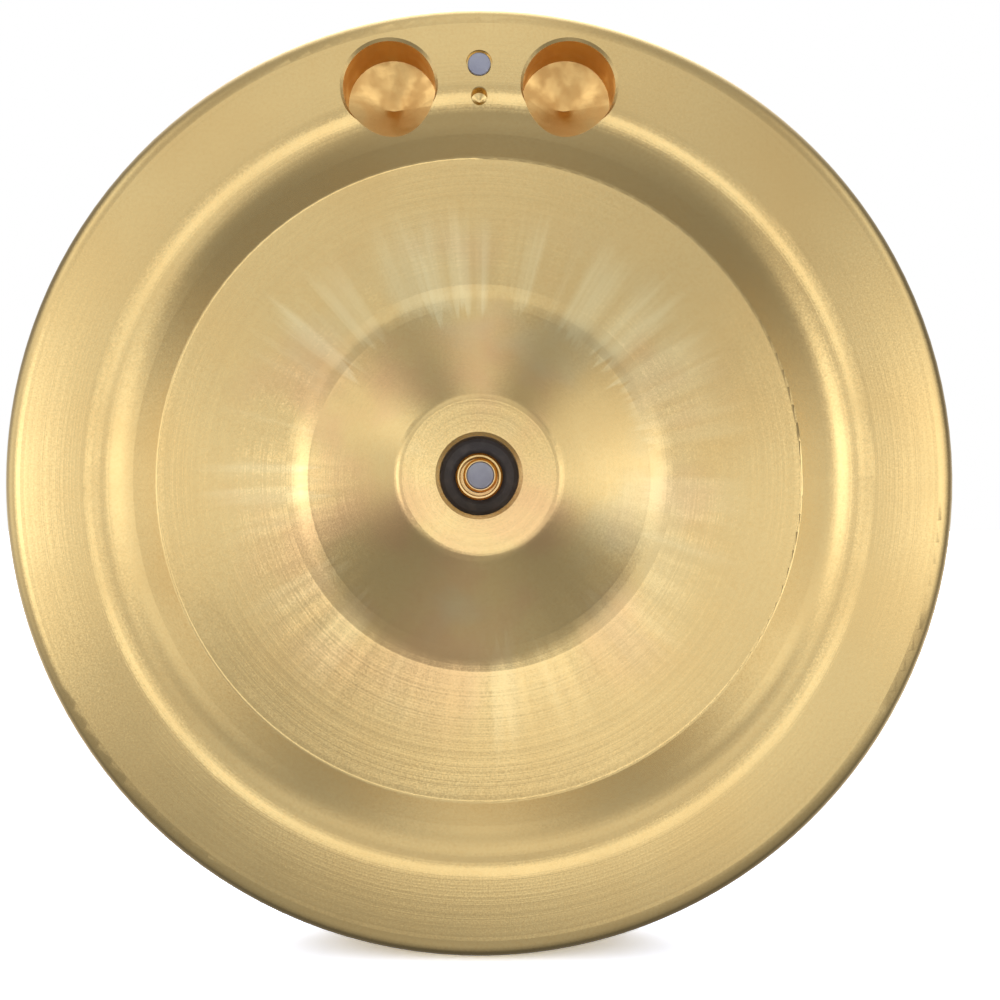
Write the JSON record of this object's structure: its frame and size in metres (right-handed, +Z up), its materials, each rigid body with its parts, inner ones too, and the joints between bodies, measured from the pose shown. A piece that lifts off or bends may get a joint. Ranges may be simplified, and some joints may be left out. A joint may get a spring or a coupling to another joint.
{
  "type": "handwheel",
  "caption": "Dished round brass handwheel with finger cups in its rim, turning on a sealed hub bearing and hollow spindle.",
  "frame": {"origin": "centre of the mounting flange's rear face", "axes": "+Y along the wheel's axis towards the machine it is bolted to, -Y out of the wheel's dished face, +Z up through the index pin, +X to the right as seen from the front"},
  "size_m": [0.2, 0.0358, 0.2],
  "materials": {
    "wheel_brass": "satin, turned and lightly polished",
    "spindle_brass": "satin, turned",
    "pin_steel": "fine ground",
    "bolt_steel": "satin, plain",
    "seal_rubber": "matte, black",
    "housing_steel": "fine turned",
    "bearing_steel": "ground and polished",
    "cage_steel": "pressed, satin",
    "spring_steel": "dark phosphated",
    "flange_steel": "turned, zinc plated",
    "screw_steel": "black oxide"
  },
  "bodies": {
    "spindle": {"mounting_flange": "flange_steel", "spindle_tube": "spindle_brass", "centre_bolt": "bolt_steel", "bolt_collar": "spindle_brass", "spring_washer": "spring_steel", "bolt_washer": "flange_steel", "inner_spacer": "housing_steel", "spindle_circlip": "spring_steel", "front_bearing_inner_ring": "bearing_steel", "rear_bearing_inner_ring": "bearing_steel"},
    "wheel": {"wheel_disc": "wheel_brass", "index_pin": "pin_steel", "front_seal": "seal_rubber", "bearing_housing": "housing_steel", "housing_screws": "screw_steel", "housing_circlip": "spring_steel", "rear_shield": "cage_steel", "outer_spacer": "housing_steel", "front_bearing_outer_ring": "bearing_steel", "rear_bearing_outer_ring": "bearing_steel"},
    "front_ball_set": {"front_bearing_balls": "bearing_steel", "front_bearing_cage": "cage_steel"},
    "rear_ball_set": {"rear_bearing_balls": "bearing_steel", "rear_bearing_cage": "cage_steel"}
  },
  "joints": [
    {"name": "wheel_spin", "type": "hinge", "parent": "spindle", "child": "wheel", "pos_m": [0, -0.0153, 0], "axis": [0, -1, 0], "continuous": true},
    {"name": "front_balls_orbit", "type": "hinge", "parent": "spindle", "child": "front_ball_set", "pos_m": [0, -0.0188, 0], "axis": [0, -1, 0], "continuous": true},
    {"name": "rear_balls_orbit", "type": "hinge", "parent": "spindle", "child": "rear_ball_set", "pos_m": [0, -0.0118, 0], "axis": [0, -1, 0], "continuous": true}
  ],
  "couplings": [
    {"joint": "front_balls_orbit", "follows": "wheel_spin", "ratio": 0.5821},
    {"joint": "rear_balls_orbit", "follows": "wheel_spin", "ratio": 0.5821}
  ]
}
